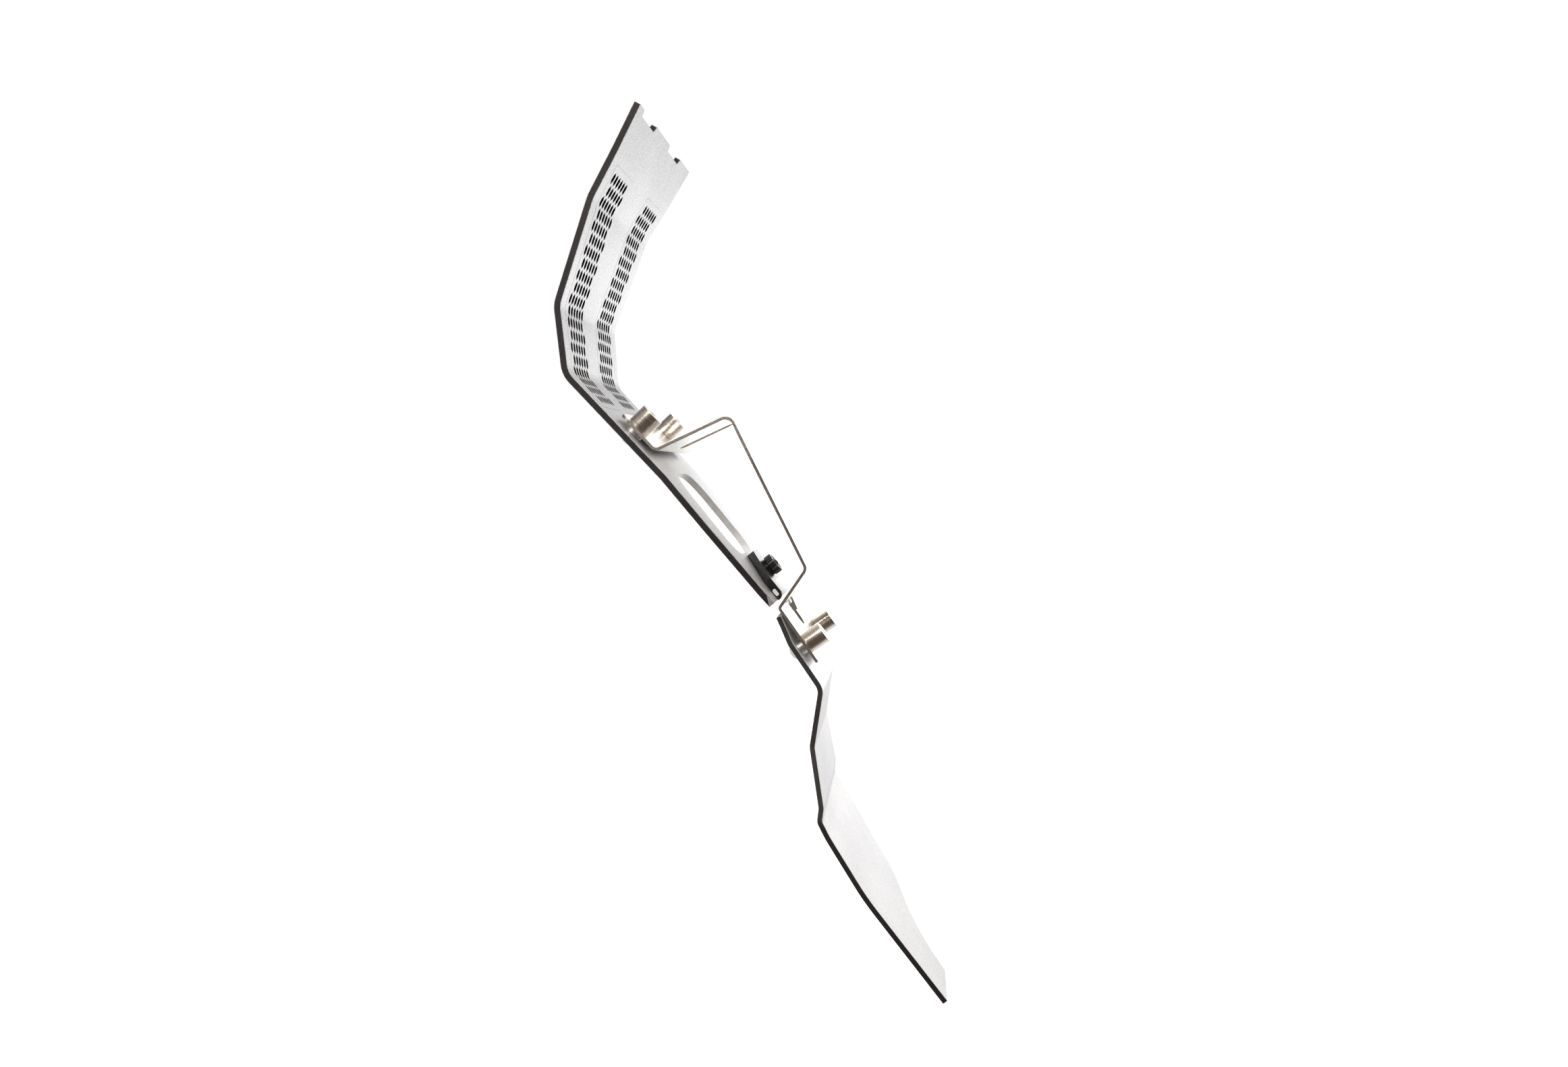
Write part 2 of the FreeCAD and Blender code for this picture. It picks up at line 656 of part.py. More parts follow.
def clamp_parts():
    """Spacers, barrel nuts and screws of the upper and lower clamps."""
    upper = ((UPPER_SPACER_R, UPPER_SPACER_T), (UPPER_NUT_R, UPPER_NUT_H),
             (UPPER_HEAD_R, UPPER_HEAD_H))
    lower = ((LOWER_SPACER_R, LOWER_SPACER_T), (LOWER_NUT_R, LOWER_NUT_H),
             (LOWER_HEAD_R, LOWER_HEAD_H))
    shapes = {}
    for name, side in (("near", -1), ("far", 1)):
        high = clamp_set(SHELL, UPPER_SCREW_S, side * UPPER_SCREW_Y, SHELL_IN, upper)
        low = clamp_set(FOOT, LOWER_SCREW_S, side * LOWER_SCREW_Y, FOOT_IN, lower)
        for kind in high:
            shapes["upper_" + kind + "_" + name] = high[kind]
            shapes["lower_" + kind + "_" + name] = low[kind]
    return shapes


def all_parts():
    """Every sub-part by node name."""
    shapes = {"calf_shell": calf_shell(), "leaf_spring": leaf_spring(),
              "stop_bar": stop_bar(), "stop_screw": stop_screw(), "stop_washer": stop_washer(),
              "stop_nut": stop_nut(), "foot_plate": foot_plate(), "tether_lug": tether_lug()}
    for name, side in (("near", -1), ("far", 1)):
        shapes["vent_panel_" + name] = vent_panel(side)
        shapes["vent_mesh_" + name] = vent_mesh(side)
    shapes.update(clamp_parts())
    return shapes


def main():
    """Write one STEP file per sub-part."""
    os.makedirs("parts", exist_ok=True)
    for name, shape in all_parts().items():
        if not shape.isValid() or len(shape.Solids) != 1:
            print("CHECK", name, shape.isValid(), len(shape.Solids))
        shape.exportStep("parts/" + name + ".step")
    ankle = (ANKLE[0], ANKLE[1])
    print("ankle axis x %.3f z %.3f" % ankle)


main()
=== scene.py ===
import json
import logging
import math
from dataclasses import dataclass
from enum import Enum
from typing import Callable, Iterable, Optional, Sequence, Union

import bmesh
import bpy
from mathutils import Matrix, Vector
from mathutils.bvhtree import BVHTree


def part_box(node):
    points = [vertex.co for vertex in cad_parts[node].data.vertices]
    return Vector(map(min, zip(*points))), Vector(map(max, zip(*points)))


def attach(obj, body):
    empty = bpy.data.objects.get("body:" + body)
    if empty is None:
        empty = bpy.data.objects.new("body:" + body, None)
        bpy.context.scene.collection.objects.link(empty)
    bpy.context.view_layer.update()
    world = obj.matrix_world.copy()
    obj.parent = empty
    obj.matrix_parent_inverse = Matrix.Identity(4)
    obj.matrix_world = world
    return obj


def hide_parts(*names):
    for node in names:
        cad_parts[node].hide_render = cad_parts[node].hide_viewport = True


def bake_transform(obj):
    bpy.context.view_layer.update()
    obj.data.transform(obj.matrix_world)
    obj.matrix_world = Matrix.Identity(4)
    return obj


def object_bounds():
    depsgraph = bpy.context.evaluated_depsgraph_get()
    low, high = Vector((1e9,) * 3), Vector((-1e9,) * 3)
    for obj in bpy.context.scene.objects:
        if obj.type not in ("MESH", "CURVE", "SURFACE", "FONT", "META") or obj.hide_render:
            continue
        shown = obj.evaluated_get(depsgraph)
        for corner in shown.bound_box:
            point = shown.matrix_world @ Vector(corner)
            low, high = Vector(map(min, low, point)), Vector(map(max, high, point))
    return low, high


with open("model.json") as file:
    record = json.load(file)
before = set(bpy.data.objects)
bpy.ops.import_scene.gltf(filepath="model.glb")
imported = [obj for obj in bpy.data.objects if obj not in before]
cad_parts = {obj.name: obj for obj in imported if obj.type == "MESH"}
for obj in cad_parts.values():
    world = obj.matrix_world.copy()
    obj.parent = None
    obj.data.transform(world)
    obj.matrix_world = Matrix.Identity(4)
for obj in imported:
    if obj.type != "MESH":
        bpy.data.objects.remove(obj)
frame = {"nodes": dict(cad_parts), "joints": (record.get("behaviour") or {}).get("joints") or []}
CAD_LOW, CAD_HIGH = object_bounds()

LOG = logging.getLogger("leg")
MM = 0.001

MERGE_DISTANCE = 0.002 * MM
SEAM_DISTANCE = 0.001 * MM
FLAT_ANGLE = math.radians(0.6)
RAY_LIFT = 0.01 * MM
RAY_LEANS = (-0.2, -0.07, 0.07, 0.2)
CUT_DEPTH = 1.2
BUMP_DISTANCE = 0.1 * MM
CLOUD_RATIO = 0.06
NOISE_LOW, NOISE_HIGH = 0.3, 0.7

Number = Union[float, bpy.types.NodeSocket]
Colour = tuple[float, float, float]


class Side(Enum):
    """The two sides of the leg: the near one is at negative Y."""

    NEAR = "near"
    FAR = "far"


class Body(Enum):
    """The bodies that pieces ride on."""

    SHELL = "shell"
    FOOT = "foot"
    STOP = "stop"
    KNOB = "stop_knob"


# ------------------------------------------------------------------ shader groups
def new_group(name: str, inputs: Sequence[tuple[str, str, float]],
              outputs: Sequence[tuple[str, str]]) -> bpy.types.NodeTree:
    """Make an empty shader node group with its sockets.

    Args:
        name: The group's name.
        inputs: Socket name, kind and default of each input.
        outputs: Socket name and kind of each output.

    Returns:
        The node group.
    """
    group = bpy.data.node_groups.new(name, "ShaderNodeTree")
    for label, kind, default in inputs:
        socket = group.interface.new_socket(label, in_out="INPUT", socket_type=kind)
        if kind == "NodeSocketFloat":
            socket.default_value = default
    for label, kind in outputs:
        group.interface.new_socket(label, in_out="OUTPUT", socket_type=kind)
    return group


def feed(tree: bpy.types.NodeTree, slot: bpy.types.NodeSocket, value: Number) -> None:
    """Feed an input with a socket or a plain number.

    Args:
        tree: The node tree.
        slot: The input to feed.
        value: The socket or number.
    """
    if isinstance(value, bpy.types.NodeSocket):
        tree.links.new(value, slot)
    else:
        slot.default_value = value


def math_node(tree: bpy.types.NodeTree, operation: str, *values: Number) -> bpy.types.NodeSocket:
    """Add a math node fed by sockets or numbers.

    Args:
        tree: The node tree to add to.
        operation: Blender's name for the operation.
        values: A socket or a number for each input.

    Returns:
        The node's result.
    """
    node = tree.nodes.new("ShaderNodeMath")
    node.operation = operation
    for slot, value in zip(node.inputs, values):
        feed(tree, slot, value)
    return node.outputs[0]


def noise_value(tree: bpy.types.NodeTree, vector: bpy.types.NodeSocket, scale: Number,
                detail: float) -> bpy.types.NodeSocket:
    """Add a noise texture.

    Args:
        tree: The node tree to add to.
        vector: The coordinates to read.
        scale: The noise scale, as a number or a socket.
        detail: The noise detail.

    Returns:
        The noise value.
    """
    noise = tree.nodes.new("ShaderNodeTexNoise")
    noise.inputs["Detail"].default_value = detail
    tree.links.new(vector, noise.inputs["Vector"])
    feed(tree, noise.inputs["Scale"], scale)
    return noise.outputs["Fac"]


def bump_out(tree: bpy.types.NodeTree, height: bpy.types.NodeSocket,
             strength: Number) -> bpy.types.NodeSocket:
    """Turn a height into a normal.

    Args:
        tree: The node tree to add to.
        height: The height value.
        strength: The bump strength, as a number or a socket.

    Returns:
        The bumped normal.
    """
    bump = tree.nodes.new("ShaderNodeBump")
    bump.inputs["Distance"].default_value = BUMP_DISTANCE
    feed(tree, bump.inputs["Strength"], strength)
    tree.links.new(height, bump.inputs["Height"])
    return bump.outputs["Normal"]


def grain_group() -> bpy.types.NodeTree:
    """Build the blasted grain shared by the plates and the black parts.

    Returns:
        A group with Grain, Cloud and Normal outputs.
    """
    group = new_group("blasted_grain",
                      [("Vector", "NodeSocketVector", 0.0), ("Grain Scale", "NodeSocketFloat", 1500.0),
                       ("Cloud Scale", "NodeSocketFloat", 60.0), ("Depth", "NodeSocketFloat", 0.5)],
                      [("Grain", "NodeSocketFloat"), ("Cloud", "NodeSocketFloat"),
                       ("Normal", "NodeSocketVector")])
    inside = group.nodes.new("NodeGroupInput")
    out = group.nodes.new("NodeGroupOutput")
    fine = noise_value(group, inside.outputs["Vector"], inside.outputs["Grain Scale"], 2.0)
    cloud = noise_value(group, inside.outputs["Vector"], inside.outputs["Cloud Scale"], 3.0)
    group.links.new(fine, out.inputs["Grain"])
    group.links.new(cloud, out.inputs["Cloud"])
    group.links.new(bump_out(group, fine, inside.outputs["Depth"]), out.inputs["Normal"])
    return group


def lines_group() -> bpy.types.NodeTree:
    """Build the fine parallel lines shared by brushed, turned and cut surfaces.

    Returns:
        A group with Lines, Cloud and Normal outputs; the vector comes in already stretched.
    """
    group = new_group("fine_lines",
                      [("Vector", "NodeSocketVector", 0.0), ("Line Scale", "NodeSocketFloat", 1.0),
                       ("Depth", "NodeSocketFloat", 0.3)],
                      [("Lines", "NodeSocketFloat"), ("Cloud", "NodeSocketFloat"),
                       ("Normal", "NodeSocketVector")])
    inside = group.nodes.new("NodeGroupInput")
    out = group.nodes.new("NodeGroupOutput")
    lines = noise_value(group, inside.outputs["Vector"], inside.outputs["Line Scale"], 4.0)
    slow = math_node(group, "MULTIPLY", inside.outputs["Line Scale"], CLOUD_RATIO)
    cloud = noise_value(group, inside.outputs["Vector"], slow, 2.0)
    group.links.new(lines, out.inputs["Lines"])
    group.links.new(cloud, out.inputs["Cloud"])
    group.links.new(bump_out(group, lines, inside.outputs["Depth"]), out.inputs["Normal"])
    return group


GRAIN = grain_group()
LINES = lines_group()


# ------------------------------------------------------------------ finishes
class Finish:
    """A material under construction: a Principled shader and its tree."""

    def __init__(self, name: str, metallic: float, roughness: float) -> None:
        """Start a material.

        Args:
            name: The material's name.
            metallic: The shader's metallic value.
            roughness: The shader's plain roughness.
        """
        self.material = bpy.data.materials.new(name)
        self.material.use_nodes = True
        self.tree = self.material.node_tree
        self.shader = next(n for n in self.tree.nodes if n.type == "BSDF_PRINCIPLED")
        self.shader.inputs["Metallic"].default_value = metallic
        self.shader.inputs["Roughness"].default_value = roughness
        self.place = self.tree.nodes.new("ShaderNodeTexCoord").outputs["Object"]

    def stretched(self, stretch: Sequence[float], turn: Sequence[float] = (0, 0, 0)
                  ) -> bpy.types.NodeSocket:
        """Give object coordinates turned, then stretched.

        Args:
            stretch: Scale along X, Y and Z.
            turn: Rotation in radians.

        Returns:
            The mapped coordinates.
        """
        first = self.tree.nodes.new("ShaderNodeMapping")
        first.inputs["Rotation"].default_value = turn
        self.tree.links.new(self.place, first.inputs["Vector"])
        second = self.tree.nodes.new("ShaderNodeMapping")
        second.inputs["Scale"].default_value = stretch
        self.tree.links.new(first.outputs[0], second.inputs["Vector"])
        return second.outputs[0]

    def group(self, tree: bpy.types.NodeTree, vector: bpy.types.NodeSocket,
              **values: float) -> bpy.types.Node:
        """Place a shader group with its own values.

        Args:
            tree: The group to place.
            vector: The coordinates that it reads.
            values: Input values; an underscore stands for a space.

        Returns:
            The group node.
        """
        node = self.tree.nodes.new("ShaderNodeGroup")
        node.node_tree = tree
        self.tree.links.new(vector, node.inputs["Vector"])
        for name, value in values.items():
            node.inputs[name.replace("_", " ")].default_value = value
        return node

    def ramp(self, value: bpy.types.NodeSocket, low: float, high: float,
             dark: Sequence[float], light: Sequence[float]) -> bpy.types.NodeSocket:
        """Run a value through a two-stop colour ramp.

        Args:
            value: The value to colour.
            low: Where the dark stop stands.
            high: Where the light stop stands.
            dark: The dark colour.
            light: The light colour.

        Returns:
            The colour.
        """
        node = self.tree.nodes.new("ShaderNodeValToRGB")
        first, last = node.color_ramp.elements
        first.position, last.position = low, high
        first.color, last.color = (*dark, 1), (*light, 1)
        self.tree.links.new(value, node.inputs[0])
        return node.outputs[0]

    def span(self, value: bpy.types.NodeSocket, low: float, high: float) -> bpy.types.NodeSocket:
        """Spread a noise value between two numbers.

        Args:
            value: The value to spread.
            low: The result where the value is NOISE_LOW.
            high: The result where the value is NOISE_HIGH.

        Returns:
            The spread value.
        """
        node = self.tree.nodes.new("ShaderNodeMapRange")
        node.inputs["From Min"].default_value = NOISE_LOW
        node.inputs["From Max"].default_value = NOISE_HIGH
        node.inputs["To Min"].default_value = low
        node.inputs["To Max"].default_value = high
        self.tree.links.new(value, node.inputs[0])
        return node.outputs[0]

    def multiply(self, a: bpy.types.NodeSocket, b: bpy.types.NodeSocket) -> bpy.types.NodeSocket:
        """Multiply two colours.

        Args:
            a: The first colour.
            b: The second colour.

        Returns:
            The product.
        """
        node = self.tree.nodes.new("ShaderNodeMix")
        node.data_type = "RGBA"
        node.blend_type = "MULTIPLY"
        node.inputs[0].default_value = 1.0
        self.tree.links.new(a, node.inputs[6])
        self.tree.links.new(b, node.inputs[7])
        return node.outputs[2]

    def finish(self, colour: bpy.types.NodeSocket, roughness: bpy.types.NodeSocket,
               normal: bpy.types.NodeSocket) -> bpy.types.Material:
        """Wire the shader and give the material.

        Args:
            colour: The base colour.
            roughness: The roughness value.
            normal: The bumped normal.

        Returns:
            The material.
        """
        self.tree.links.new(colour, self.shader.inputs["Base Color"])
        self.tree.links.new(roughness, self.shader.inputs["Roughness"])
        self.tree.links.new(normal, self.shader.inputs["Normal"])
        return self.material


@dataclass(frozen=True)
class BlastedPlate:
    """The pale bead-blasted face of the plates."""

    name: str
    dark: Colour
    light: Colour
    grain_per_metre: float = 1300.0
    clouds_per_metre: float = 26.0
    grain_depth: float = 0.45
    smoothest: float = 0.42
    roughest: float = 0.6

    def material(self) -> bpy.types.Material:
        """Build the material: speckled grain over slow clouds."""
        work = Finish(self.name, 0.55, 0.5)
        grain = work.group(GRAIN, work.place, Grain_Scale=self.grain_per_metre,
                           Cloud_Scale=self.clouds_per_metre, Depth=self.grain_depth)
        speck = work.ramp(grain.outputs["Grain"], 0.34, 0.62, self.dark, self.light)
        cloud = work.ramp(grain.outputs["Cloud"], NOISE_LOW, NOISE_HIGH, (0.93, 0.93, 0.94), (1, 1, 1))
        colour = work.multiply(speck, cloud)
        return work.finish(colour, work.span(grain.outputs["Grain"], self.smoothest, self.roughest),
                           grain.outputs["Normal"])


@dataclass(frozen=True)
class CutEdge:
    """A cut face of a plate, with fine cutting lines across it, in colours that the plates use to
    paint shade on the outer edges and light on the window walls.
    """

    name: str
    metallic: float
    dark: Colour
    light: Colour

    def material(self) -> bpy.types.Material:
        """Build the material: cutting lines and slow changes of tone."""
        work = Finish(self.name, self.metallic, 0.42)
        lines = work.group(LINES, work.stretched((1.0, 0.12, 1.0)), Line_Scale=2200.0, Depth=0.35)
        cut = work.ramp(lines.outputs["Lines"], NOISE_LOW, NOISE_HIGH, self.dark, self.light)
        tone = work.ramp(lines.outputs["Cloud"], NOISE_LOW, NOISE_HIGH, (0.8, 0.8, 0.8), (1, 1, 1))
        return work.finish(work.multiply(cut, tone),
                           work.span(lines.outputs["Lines"], 0.36, 0.52), lines.outputs["Normal"])


@dataclass(frozen=True)
class BrushedSpring:
    """The brushed steel of the leaf spring, a little warm."""

    name: str = "brushed_spring"
    dark: Colour = (0.82, 0.81, 0.79)
    light: Colour = (0.97, 0.965, 0.955)

    def material(self) -> bpy.types.Material:
        """Build the material: lines along the strip's width and heat-tinted clouds."""
        work = Finish(self.name, 0.95, 0.3)
        lines = work.group(LINES, work.stretched((1.0, 0.02, 1.0)), Line_Scale=2600.0, Depth=0.25)
        brushed = work.ramp(lines.outputs["Lines"], 0.28, 0.72, self.dark, self.light)
        tint = work.ramp(lines.outputs["Cloud"], 0.3, 0.75, (1.0, 0.965, 0.92), (1, 1, 1))
        return work.finish(work.multiply(brushed, tint),
                           work.span(lines.outputs["Lines"], 0.24, 0.4), lines.outputs["Normal"])


@dataclass(frozen=True)
class TurnedNickel:
    """Satin nickel of a turned piece, with lathe lines round its own axis."""

    name: str
    axis: tuple[float, ...]
    dark: Colour = (0.62, 0.565, 0.50)
    light: Colour = (0.82, 0.775, 0.71)
    roughness: float = 0.22

    def material(self) -> bpy.types.Material:
        """Build the material: noise that changes only along the turning axis."""
        work = Finish(self.name, 1.0, self.roughness)
        along = work.tree.nodes.new("ShaderNodeVectorMath")
        along.operation = "DOT_PRODUCT"
        along.inputs[1].default_value = self.axis
        work.tree.links.new(work.place, along.inputs[0])
        ring = work.tree.nodes.new("ShaderNodeCombineXYZ")
        work.tree.links.new(along.outputs["Value"], ring.inputs["X"])
        fade = work.stretched((0.02, 0.02, 0.02))
        both = work.tree.nodes.new("ShaderNodeVectorMath")
        both.operation = "ADD"
        work.tree.links.new(ring.outputs[0], both.inputs[0])
        work.tree.links.new(fade, both.inputs[1])
        lines = work.group(LINES, both.outputs[0], Line_Scale=3600.0, Depth=0.05)
        colour = work.ramp(lines.outputs["Lines"], NOISE_LOW, NOISE_HIGH, self.dark, self.light)
        return work.finish(colour, work.span(lines.outputs["Lines"], self.roughness - 0.05,
                                             self.roughness + 0.08), lines.outputs["Normal"])


@dataclass(frozen=True)
class SatinSteel:
    """Plain satin steel of the spacers and the small bracket."""

    name: str = "satin_steel"
    dark: Colour = (0.45, 0.45, 0.45)
    light: Colour = (0.74, 0.735, 0.73)

    def material(self) -> bpy.types.Material:
        """Build the material: a fine grain with small scratches."""
        work = Finish(self.name, 0.95, 0.3)
        grain = work.group(GRAIN, work.place, Grain_Scale=4200.0, Cloud_Scale=240.0, Depth=0.2)
        colour = work.ramp(grain.outputs["Grain"], 0.3, 0.68, self.dark, self.light)
        return work.finish(colour, work.span(grain.outputs["Cloud"], 0.24, 0.42),
                           grain.outputs["Normal"])


@dataclass(frozen=True)
class BlackOxide:
    """The black of the sliding stop, its nut and its screw."""

    name: str = "black_oxide"
    dark: Colour = (0.005, 0.005, 0.006)
    light: Colour = (0.02, 0.02, 0.023)

    def material(self) -> bpy.types.Material:
        """Build the material: a nearly even black with a soft sheen."""
        work = Finish(self.name, 0.1, 0.4)
        grain = work.group(GRAIN, work.place, Grain_Scale=3200.0, Cloud_Scale=180.0, Depth=0.3)
        colour = work.ramp(grain.outputs["Cloud"], NOISE_LOW, NOISE_HIGH, self.dark, self.light)
        return work.finish(colour, work.span(grain.outputs["Grain"], 0.2, 0.34),
                           grain.outputs["Normal"])


@dataclass(frozen=True)
class WovenMesh:
    """The fine black mesh behind the vents."""

    name: str = "woven_mesh"
    threads_per_metre: float = 1250.0

    def material(self) -> bpy.types.Material:
        """Build the material: two crossed sets of threads as colour and relief."""
        work = Finish(self.name, 0.0, 0.6)
        turn = (math.radians(45), 0, 0)
        split = work.tree.nodes.new("ShaderNodeSeparateXYZ")
        work.tree.links.new(work.stretched((1, 1, 1), turn), split.inputs[0])
        waves = []
        for axis in ("Y", "Z"):
            angle = math_node(work.tree, "MULTIPLY", split.outputs[axis],
                              math.tau * self.threads_per_metre)
            waves.append(math_node(work.tree, "ABSOLUTE", math_node(work.tree, "SINE", angle)))
        weave = math_node(work.tree, "MAXIMUM", *waves)
        colour = work.ramp(weave, 0.55, 0.98, (0.002, 0.002, 0.002), (0.03, 0.03, 0.032))
        return work.finish(colour, work.span(weave, 0.7, 0.45), bump_out(work.tree, weave, 0.8))


BLASTED = BlastedPlate("blasted_shell", (0.42, 0.42, 0.43), (0.74, 0.74, 0.75)).material()
# The blade gets the shell's blasted finish painted brighter: painted light for the stronger light
# falling on the foot.
LIT_BLADE = BlastedPlate("blasted_blade_painted_light", (0.72, 0.72, 0.73), (0.95, 0.95, 0.955)).material()
# The cut edges are the same metal painted near-black: painted shade for edges that face the dim
# viewer's side.
SHADED_CUT = CutEdge("cut_edge_painted_shade", 0.45, (0.022, 0.02, 0.022), (0.056, 0.053, 0.055)).material()
# Window and notch walls are the same metal painted near-white and flat: painted light that makes them
# look blown out.
LIT_WALL = CutEdge("window_wall_painted_light", 0.0, (0.84, 0.84, 0.84), (0.96, 0.96, 0.96)).material()
SPRING = BrushedSpring().material()
# The spring's cut edges are the same steel painted darker and browner: painted shade on the edges.
SHADED_SPRING_EDGE = BrushedSpring("spring_edge_painted_shade", (0.36, 0.335, 0.31), (0.58, 0.55, 0.52)).material()
STEEL = SatinSteel().material()
BLACK = BlackOxide().material()
MESH = WovenMesh().material()


# ------------------------------------------------------------------ mesh helpers
def mesh_piece(name: str, work: bmesh.types.BMesh, materials: Iterable[bpy.types.Material],
               smooth_angle: float = 28.0) -> bpy.types.Object:
    """Turn a bmesh into a piece with crisp edges and even shading.

    Args:
        name: The piece's name.
        work: The finished bmesh, in metres, in place; it is freed.
        materials: The piece's materials, in slot order.
        smooth_angle: Edges sharper than this many degrees stay crisp.

    Returns:
        The object, linked to the scene.
    """
    mesh = bpy.data.meshes.new(name)
    work.to_mesh(mesh)
    work.free()
    for polygon in mesh.polygons:
        polygon.use_smooth = True
    mesh.set_sharp_from_angle(angle=math.radians(smooth_angle))
    for material in materials:
        mesh.materials.append(material)
    piece = bpy.data.objects.new(name, mesh)
    bpy.context.scene.collection.objects.link(piece)
    weighted = piece.modifiers.new("even_shading", "WEIGHTED_NORMAL")
    weighted.keep_sharp = True
    return piece


def settle(piece: bpy.types.Object, body: Optional[Body], nodes: Iterable[str]) -> bpy.types.Object:
    """Ride a piece on its body, in place of its CAD nodes.

    Args:
        piece: The new piece.
        body: The body that it rides on, or None to leave it on no body.
        nodes: The CAD nodes that it stands for.

    Returns:
        The same piece.
    """
    if body is not None:
        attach(piece, body.value)
    nodes = list(nodes)
    if nodes:
        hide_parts(*nodes)
    count = sum(len(polygon.vertices) - 2 for polygon in piece.data.polygons)
    LOG.info("%s: %d triangles", piece.name, count)
    return piece


def merged_copy(node: str, thickness: Optional[float] = None,
                outline_only: bool = False) -> bmesh.types.BMesh:
    """Copy a CAD node's mesh with its loose triangles joined into flat faces.

    Args:
        node: The CAD node's name.
        thickness: The sheet's thickness in metres; when given, the cut faces get slot 1, which the
            pieces paint dark as shade.
        outline_only: True gives the walls of windows and notches slot 2 instead, which the plates
            paint pale as light.

    Returns:
        The merged bmesh.
    """
    work = bmesh.new()
    work.from_mesh(frame["nodes"][node].data)
    bmesh.ops.remove_doubles(work, verts=work.verts, dist=MERGE_DISTANCE)
    for face in work.faces:
        face.material_index = 0
    if thickness is not None:
        mark_cut_faces(work, thickness, outline_only)
    bmesh.ops.dissolve_limit(work, angle_limit=FLAT_ANGLE, verts=work.verts,
                             edges=work.edges, use_dissolve_boundaries=False,
                             delimit={"MATERIAL"})
    work.normal_update()
    return work


def clear_distance(tree: BVHTree, start: Vector, way: Vector) -> float:
    """Measure how far a ray runs before it meets the mesh.

    Args:
        tree: The search tree of the closed mesh.
        start: Where the ray starts, on the mesh.
        way: The ray's unit direction.

    Returns:
        The distance in metres, or infinity.
    """
    hit = tree.ray_cast(start + way * RAY_LIFT, way)
    return math.inf if hit[3] is None else hit[3]


def looks_at_mesh(tree: BVHTree, start: Vector, normal: Vector) -> bool:
    """Tell whether a face looks at another part of its own mesh, straight or a little aside.

    Args:
        tree: The search tree of the closed mesh.
        start: The face's middle.
        normal: The face's normal.

    Returns:
        True when any of nine rays meets the mesh.
    """
    tilts = [Vector()]
    for lean in RAY_LEANS:
        tilts += [Vector((lean, 0, 0)), Vector((0, 0, lean))]
    return any(clear_distance(tree, start, (normal + tilt).normalized()) < math.inf
               for tilt in tilts)


def mark_cut_faces(work: bmesh.types.BMesh, thickness: float, outline_only: bool) -> None:
    """Give slot 1 to the cut faces: those with deep metal behind them.

    Args:
        work: The sheet's bmesh, in triangles.
        thickness: The sheet's thickness in metres.
        outline_only: True gives slot 2 to faces that look at another part of the sheet.
    """
    tree = BVHTree.FromBMesh(work)
    for face in work.faces:
        middle = face.calc_center_median()
        cut = clear_distance(tree, middle, -face.normal) > CUT_DEPTH * thickness
        # Walls that look across at the sheet get slot 2, painted as light; the other cut faces get
        # slot 1, painted as shade.
        lit_wall_face = cut and outline_only and looks_at_mesh(tree, middle, face.normal)
        face.material_index = int(cut) + int(lit_wall_face)


def bevel_crisp_edges(work: bmesh.types.BMesh, width: float, segments: int,
                      slot: Optional[int], least: float = 40.0) -> None:
    """Bevel every edge that is sharper than an angle.

    Args:
        work: The bmesh to bevel.
        width: The bevel's width in metres.
        segments: The number of bevel segments.
        slot: The bevel faces' material slot, or None to keep their neighbours'.
        least: The least angle between the two faces, in degrees.
    """
    limit = math.radians(least)
    edges = [e for e in work.edges if len(e.link_faces) == 2 and e.calc_face_angle(0.0) > limit]
    made = bmesh.ops.bevel(work, geom=edges, offset=width, offset_type="OFFSET",
                           segments=segments, profile=0.5, affect="EDGES", clamp_overlap=True,
                           material=-1)
    if slot is not None:
        for face in made["faces"]:
            face.material_index = slot


def spun(profile: Sequence[tuple[float, float]], steps: int) -> bmesh.types.BMesh:
    """Spin an outline of (radius, height) points into a closed turned body.

    Args:
        profile: The outline from one end of the axis to the other, in metres.
        steps: The number of steps round the axis.

    Returns:
        The turned bmesh, its axis along Z.
    """
    work = bmesh.new()
    verts = [work.verts.new((radius, 0.0, height)) for radius, height in profile]
    edges = [work.edges.new(pair) for pair in zip(verts, verts[1:])]
    bmesh.ops.spin(work, geom=verts + edges, cent=(0, 0, 0), axis=(0, 0, 1), dvec=(0, 0, 0),
                   angle=math.tau, steps=steps, use_merge=True, use_duplicate=False)
    bmesh.ops.remove_doubles(work, verts=work.verts, dist=SEAM_DISTANCE)
    bmesh.ops.recalc_face_normals(work, faces=work.faces)
    return work


def shaped(work: bmesh.types.BMesh, change: Callable[[float, float, float], float]) -> None:
    """Scale each point's distance from the Z axis.

    Args:
        work: The turned bmesh.
        change: Gives the factor from the angle, the radius and the height.
    """
    for vert in work.verts:
        radius = math.hypot(vert.co.x, vert.co.y)
        if radius > SEAM_DISTANCE:
            factor = change(math.atan2(vert.co.y, vert.co.x), radius, vert.co.z)
            vert.co.x *= factor
            vert.co.y *= factor


def arc(radius: float, low: float, rise: float, count: int, inward: bool = True
        ) -> list[tuple[float, float]]:
    """List a dome's outline from its rim to its crown.

    Args:
        radius: The rim's radius.
        low: The rim's height.
        rise: The crown's height above the rim; negative points down.
        count: The number of steps.
        inward: False lists the crown first.

    Returns:
        Points as (radius, height).
    """
    ball = (radius * radius + rise * rise) / (2 * abs(rise))
    whole = math.asin(min(1.0, radius / ball))
    way = math.copysign(1.0, rise)
    points = []
    for step in range(count + 1):
        angle = whole * (1 - step / count)
        points.append((ball * math.sin(angle), low + rise - way * ball * (1 - math.cos(angle))))
    return points if inward else points[::-1]


def centre_of(node: str) -> Vector:
    """Give the middle of a CAD node's box."""
    low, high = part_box(node)
    return (low + high) / 2


